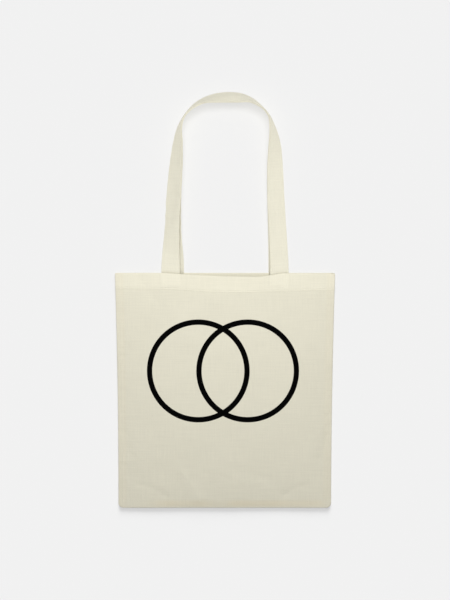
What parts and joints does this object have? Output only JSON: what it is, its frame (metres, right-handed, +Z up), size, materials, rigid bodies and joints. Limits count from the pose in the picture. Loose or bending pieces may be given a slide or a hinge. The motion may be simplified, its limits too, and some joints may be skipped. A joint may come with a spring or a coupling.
{
  "type": "cotton tote bag",
  "caption": "Flat cotton tote bag lying on its back, with a hemmed open mouth, long shoulder handles laid out in an arch, and a print of overlapping rings.",
  "frame": {"origin": "on the surface that the bag lies on, under the middle of its whole outline with the handles", "axes": "+X across the bag to its right as seen from above, +Y from the base seam to the top of the handles, +Z up out of the front panel"},
  "size_m": [0.395, 0.7439, 0.0337],
  "materials": {
    "natural_cotton": "matt plain weave",
    "cotton_strap": "matt folded and stitched cloth",
    "black_print": "matt screen print"
  },
  "bodies": {
    "root": {"front_panel": "natural_cotton", "back_panel": "natural_cotton", "front_hem": "natural_cotton", "back_hem": "natural_cotton", "left_seam": "natural_cotton", "right_seam": "natural_cotton", "bottom_seam": "natural_cotton", "front_handle": "cotton_strap", "back_handle": "cotton_strap", "ring_print": "black_print"}
  },
  "joints": []
}
